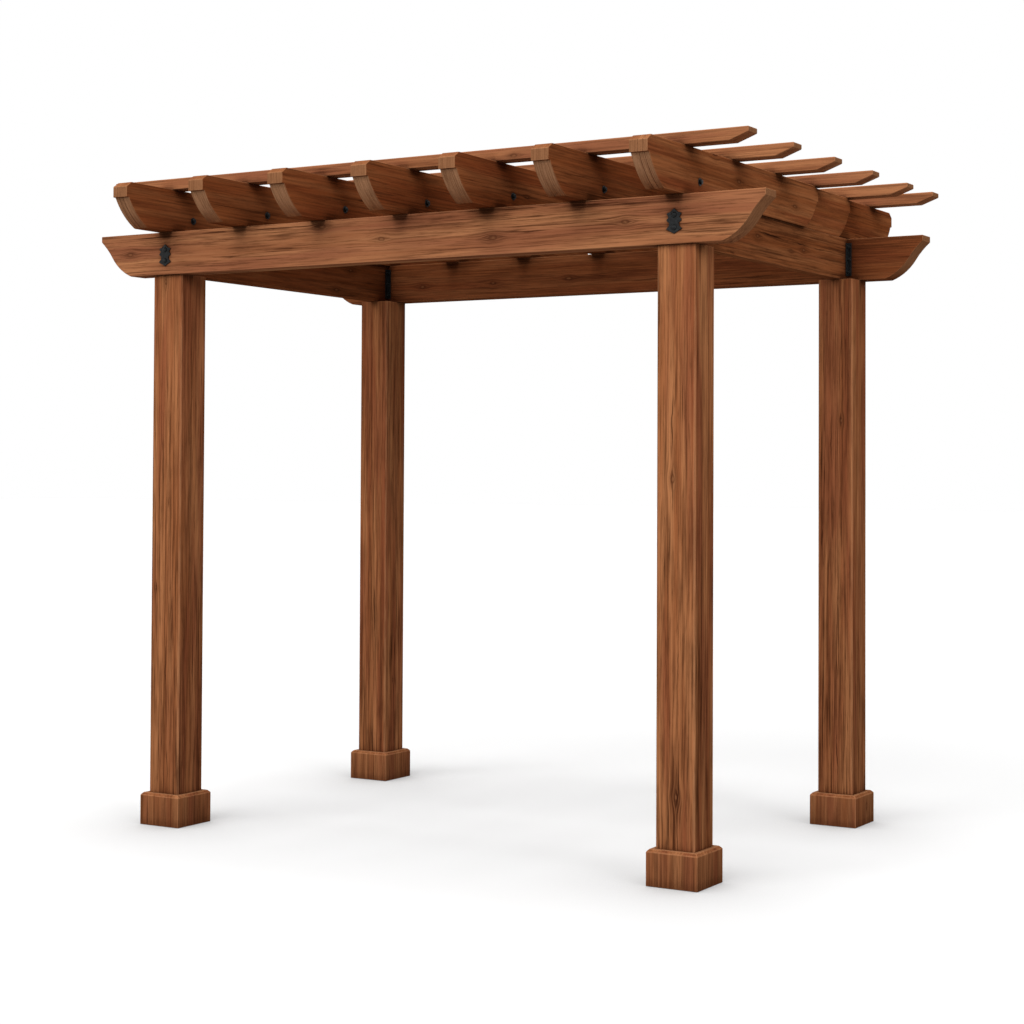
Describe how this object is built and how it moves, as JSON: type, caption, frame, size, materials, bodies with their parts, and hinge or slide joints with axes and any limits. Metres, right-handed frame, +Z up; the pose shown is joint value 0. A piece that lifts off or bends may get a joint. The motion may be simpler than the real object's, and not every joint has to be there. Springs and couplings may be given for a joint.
{
  "type": "wooden pergola",
  "caption": "Free-standing stained timber pergola: square posts with base trim carry ogee-ended beams, shaped rafters and top slats, joined with black iron hardware.",
  "frame": {"origin": "ground level under the middle of the roof", "axes": "+X along the main beams to the right, +Y from the front to the rear, +Z up"},
  "size_m": [2.794, 2.205, 2.432],
  "materials": {
    "wood": "semi-transparent red-brown stain, satin",
    "iron": "black powder coat, satin"
  },
  "bodies": {
    "root": {"front_left_post": "wood", "front_right_post": "wood", "rear_left_post": "wood", "rear_right_post": "wood", "front_left_base": "wood", "front_right_base": "wood", "rear_left_base": "wood", "rear_right_base": "wood", "front_beam": "wood", "rear_beam": "wood", "left_side_beam": "wood", "right_side_beam": "wood", "rafter_1": "wood", "rafter_2": "wood", "rafter_3": "wood", "rafter_4": "wood", "rafter_5": "wood", "rafter_6": "wood", "rafter_7": "wood", "slat_1": "wood", "slat_2": "wood", "slat_3": "wood", "slat_4": "wood", "slat_5": "wood", "slat_6": "wood", "left_inner_lap": "wood", "left_outer_lap": "wood", "right_inner_lap": "wood", "right_outer_lap": "wood", "front_left_plate": "iron", "front_right_plate": "iron", "rear_left_plate": "iron", "rear_right_plate": "iron", "front_left_outer_bracket": "iron", "front_right_outer_bracket": "iron", "rear_left_outer_bracket": "iron", "rear_right_outer_bracket": "iron", "front_left_inner_bracket": "iron", "front_right_inner_bracket": "iron", "rear_left_inner_bracket": "iron", "rear_right_inner_bracket": "iron"}
  },
  "joints": []
}
